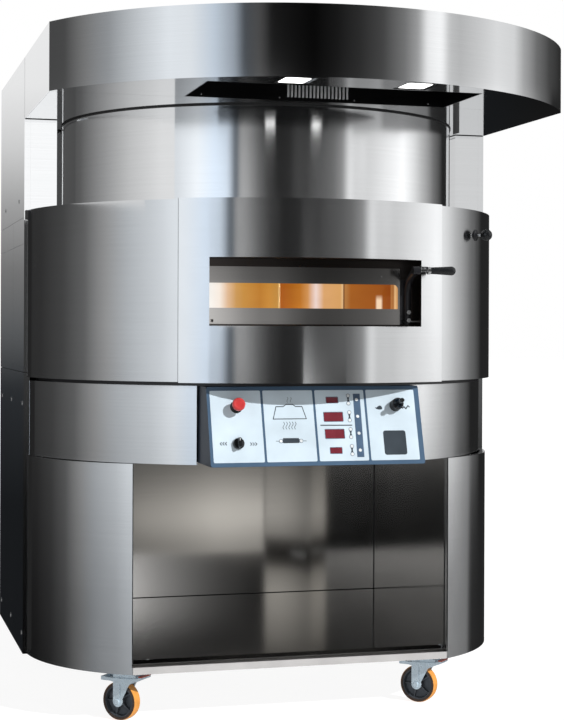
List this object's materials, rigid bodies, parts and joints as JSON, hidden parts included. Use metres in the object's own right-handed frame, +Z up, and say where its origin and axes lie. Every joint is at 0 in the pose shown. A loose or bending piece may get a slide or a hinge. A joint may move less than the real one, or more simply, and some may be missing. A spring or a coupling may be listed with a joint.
{
  "type": "pizza oven",
  "caption": "Free-standing electric pizza oven: round chamber with a turning stone deck and drop-down door, drum and wide extractor hood above, wheeled stand with an open storage bay below.",
  "frame": {"origin": "on the floor, under the middle of the oven's outer box", "axes": "+X to the right of somebody facing the door, +Y to the back, +Z up"},
  "size_m": [1.463, 1.7138, 1.977],
  "materials": {
    "steel": "satin",
    "polished_steel": "polished",
    "black_metal": "satin",
    "panel_paint": "satin",
    "display": "matte",
    "wool": "matte",
    "hot_rod": "satin",
    "lamp_glass": "gloss",
    "iron": "satin",
    "black_plastic": "gloss",
    "red_plastic": "gloss",
    "zinc": "satin",
    "wheel_tread": "satin",
    "pedal_paint": "satin",
    "stone": "matte",
    "window_glass": "gloss",
    "bright_metal": "polished",
    "aluminium": "satin"
  },
  "bodies": {
    "oven": {"stand_frame": "panel_paint", "stand_side_left": "steel", "stand_side_right": "steel", "stand_shell_left": "steel", "stand_shell_right": "steel", "stand_band_left": "steel", "stand_band_right": "steel", "storage_bay": "polished_steel", "control_box": "steel", "control_fascia": "panel_paint", "display_board": "display", "chamber_shell_left": "steel", "chamber_shell_right": "steel", "chamber_front": "steel", "chamber_base": "black_metal", "chamber_roof": "steel", "mouth_frame": "steel", "inner_chamber": "steel", "insulation": "wool", "heating_elements": "hot_rod", "chamber_lamp": "lamp_glass", "deck_bearing": "iron", "gearmotor": "iron", "flue_duct": "steel", "side_panel_left": "steel", "side_panel_right": "steel", "box_posts": "steel", "rear_panel": "steel", "neck_drum": "steel", "hood_canopy": "steel", "hood_underside": "polished_steel", "louvre_panel": "black_metal", "hood_lamps": "lamp_glass", "fan_motor": "iron", "cable_gland": "black_plastic", "caster_plates": "zinc"},
    "deck": {"deck_stones": "stone", "deck_carrier": "steel"},
    "door": {"door_frame": "steel", "door_glass": "window_glass", "door_lever": "black_metal", "handle_coil": "bright_metal", "handle_grip": "black_plastic", "door_fittings": "bright_metal"},
    "damper": {"vent_rod": "steel", "vent_knob": "black_plastic"},
    "stop_button": {"stop_button": "red_plastic"},
    "selector": {"selector": "black_plastic"},
    "lever_switch": {"lever_switch": "black_plastic"},
    "fan": {"fan_impeller": "aluminium"},
    "fork_front_left": {"caster_fork_front_left": "zinc"},
    "wheel_front_left": {"caster_wheel_front_left": "wheel_tread"},
    "fork_front_right": {"caster_fork_front_right": "zinc"},
    "wheel_front_right": {"caster_wheel_front_right": "wheel_tread"},
    "fork_rear_left": {"caster_fork_rear_left": "zinc"},
    "wheel_rear_left": {"caster_wheel_rear_left": "wheel_tread"},
    "fork_rear_right": {"caster_fork_rear_right": "zinc"},
    "wheel_rear_right": {"caster_wheel_rear_right": "wheel_tread"},
    "pedal_front_left": {"brake_pedal_front_left": "zinc"},
    "pedal_front_right": {"brake_pedal_front_right": "zinc"}
  },
  "joints": [
    {"name": "door_hinge", "type": "hinge", "parent": "oven", "child": "door", "pos_m": [0, -0.392, 1.136], "axis": [1, 0, 0], "range_deg": [0, 90]},
    {"name": "deck_turn", "type": "hinge", "parent": "oven", "child": "deck", "pos_m": [0, 0.234, 1], "axis": [0, 0, 1], "continuous": true},
    {"name": "damper_slide", "type": "slide", "parent": "oven", "child": "damper", "axis": [0.7445, -0.6676, 0], "range_m": [0, 0.06]},
    {"name": "stop_push", "type": "slide", "parent": "oven", "child": "stop_button", "axis": [0, 0.9561, -0.2931], "range_m": [0, 0.006], "stiffness_N_per_m": 1500},
    {"name": "selector_turn", "type": "hinge", "parent": "oven", "child": "selector", "pos_m": [-0.224, -0.45257, 0.80511], "axis": [0, -0.9561, 0.2931], "range_deg": [-45, 45]},
    {"name": "lever_switch_tilt", "type": "hinge", "parent": "oven", "child": "lever_switch", "pos_m": [0.231, -0.43414, 0.90614], "axis": [0, 0.2931, 0.9561], "range_deg": [-15, 15]},
    {"name": "fan_spin", "type": "hinge", "parent": "oven", "child": "fan", "pos_m": [0, 0.62, 1.83], "axis": [0, 0, 1], "continuous": true},
    {"name": "swivel_front_left", "type": "hinge", "parent": "oven", "child": "fork_front_left", "pos_m": [-0.45, -0.13, 0.13], "axis": [0, 0, 1], "continuous": true},
    {"name": "roll_front_left", "type": "hinge", "parent": "fork_front_left", "child": "wheel_front_left", "pos_m": [-0.47779, -0.10408, 0.055], "axis": [-0.682, -0.7314, 0], "continuous": true},
    {"name": "swivel_front_right", "type": "hinge", "parent": "oven", "child": "fork_front_right", "pos_m": [0.45, -0.13, 0.13], "axis": [0, 0, 1], "continuous": true},
    {"name": "roll_front_right", "type": "hinge", "parent": "fork_front_right", "child": "wheel_front_right", "pos_m": [0.42221, -0.10408, 0.055], "axis": [-0.682, -0.7314, 0], "continuous": true},
    {"name": "swivel_rear_left", "type": "hinge", "parent": "oven", "child": "fork_rear_left", "pos_m": [-0.45, 0.72, 0.13], "axis": [0, 0, 1], "continuous": true},
    {"name": "roll_rear_left", "type": "hinge", "parent": "fork_rear_left", "child": "wheel_rear_left", "pos_m": [-0.47779, 0.74592, 0.055], "axis": [-0.682, -0.7314, 0], "continuous": true},
    {"name": "swivel_rear_right", "type": "hinge", "parent": "oven", "child": "fork_rear_right", "pos_m": [0.45, 0.72, 0.13], "axis": [0, 0, 1], "continuous": true},
    {"name": "roll_rear_right", "type": "hinge", "parent": "fork_rear_right", "child": "wheel_rear_right", "pos_m": [0.42221, 0.74592, 0.055], "axis": [-0.682, -0.7314, 0], "continuous": true},
    {"name": "brake_front_left", "type": "hinge", "parent": "fork_front_left", "child": "pedal_front_left", "pos_m": [-0.45585, -0.12454, 0.112], "axis": [-0.682, -0.7314, 0], "range_deg": [0, 8]},
    {"name": "brake_front_right", "type": "hinge", "parent": "fork_front_right", "child": "pedal_front_right", "pos_m": [0.44415, -0.12454, 0.112], "axis": [-0.682, -0.7314, 0], "range_deg": [0, 8]}
  ]
}
